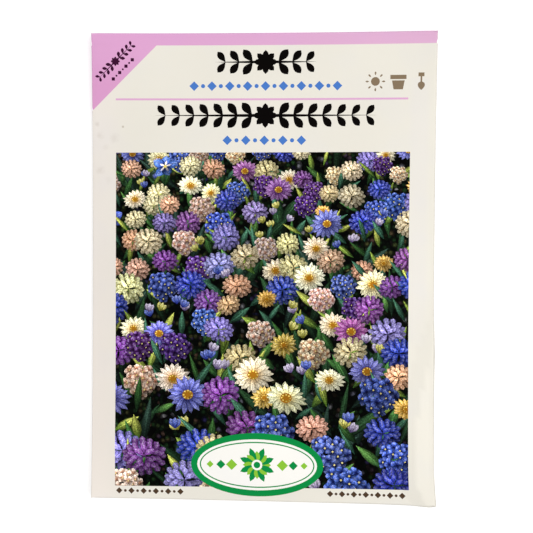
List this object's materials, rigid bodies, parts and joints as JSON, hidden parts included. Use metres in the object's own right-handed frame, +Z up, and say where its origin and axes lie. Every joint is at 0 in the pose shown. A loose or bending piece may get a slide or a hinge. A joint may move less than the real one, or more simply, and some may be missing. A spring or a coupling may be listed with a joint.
{
  "type": "seed packet",
  "caption": "Flat glued paper packet of flower seeds, lying on its back, with a printed front and loose flat seeds sealed inside.",
  "frame": {"origin": "under the middle of the packet, at the height of the surface that it lies on", "axes": "+X to the right across the printed front, +Y to the top of the packet, +Z up, out of the front"},
  "size_m": [0.0824, 0.1118, 0.0034],
  "materials": {
    "paper": "one-side coated label paper, satin, printed",
    "dried_glue": "thin clear film of dried glue",
    "seed_coat": "smooth mottled seed coat, slight sheen"
  },
  "bodies": {
    "root": {"paper_packet": "paper", "seam_glue": "dried_glue", "top_flap_glue": "dried_glue", "bottom_flap_glue": "dried_glue", "seed_01": "seed_coat", "seed_02": "seed_coat", "seed_03": "seed_coat", "seed_04": "seed_coat", "seed_05": "seed_coat", "seed_06": "seed_coat", "seed_07": "seed_coat", "seed_08": "seed_coat", "seed_09": "seed_coat", "seed_10": "seed_coat", "seed_11": "seed_coat", "seed_12": "seed_coat", "seed_13": "seed_coat", "seed_14": "seed_coat", "seed_15": "seed_coat", "seed_16": "seed_coat", "seed_17": "seed_coat", "seed_18": "seed_coat", "seed_19": "seed_coat", "seed_20": "seed_coat", "seed_21": "seed_coat", "seed_22": "seed_coat", "seed_23": "seed_coat", "seed_24": "seed_coat", "seed_25": "seed_coat", "seed_26": "seed_coat", "seed_27": "seed_coat", "seed_28": "seed_coat", "seed_29": "seed_coat", "seed_30": "seed_coat"}
  },
  "joints": []
}
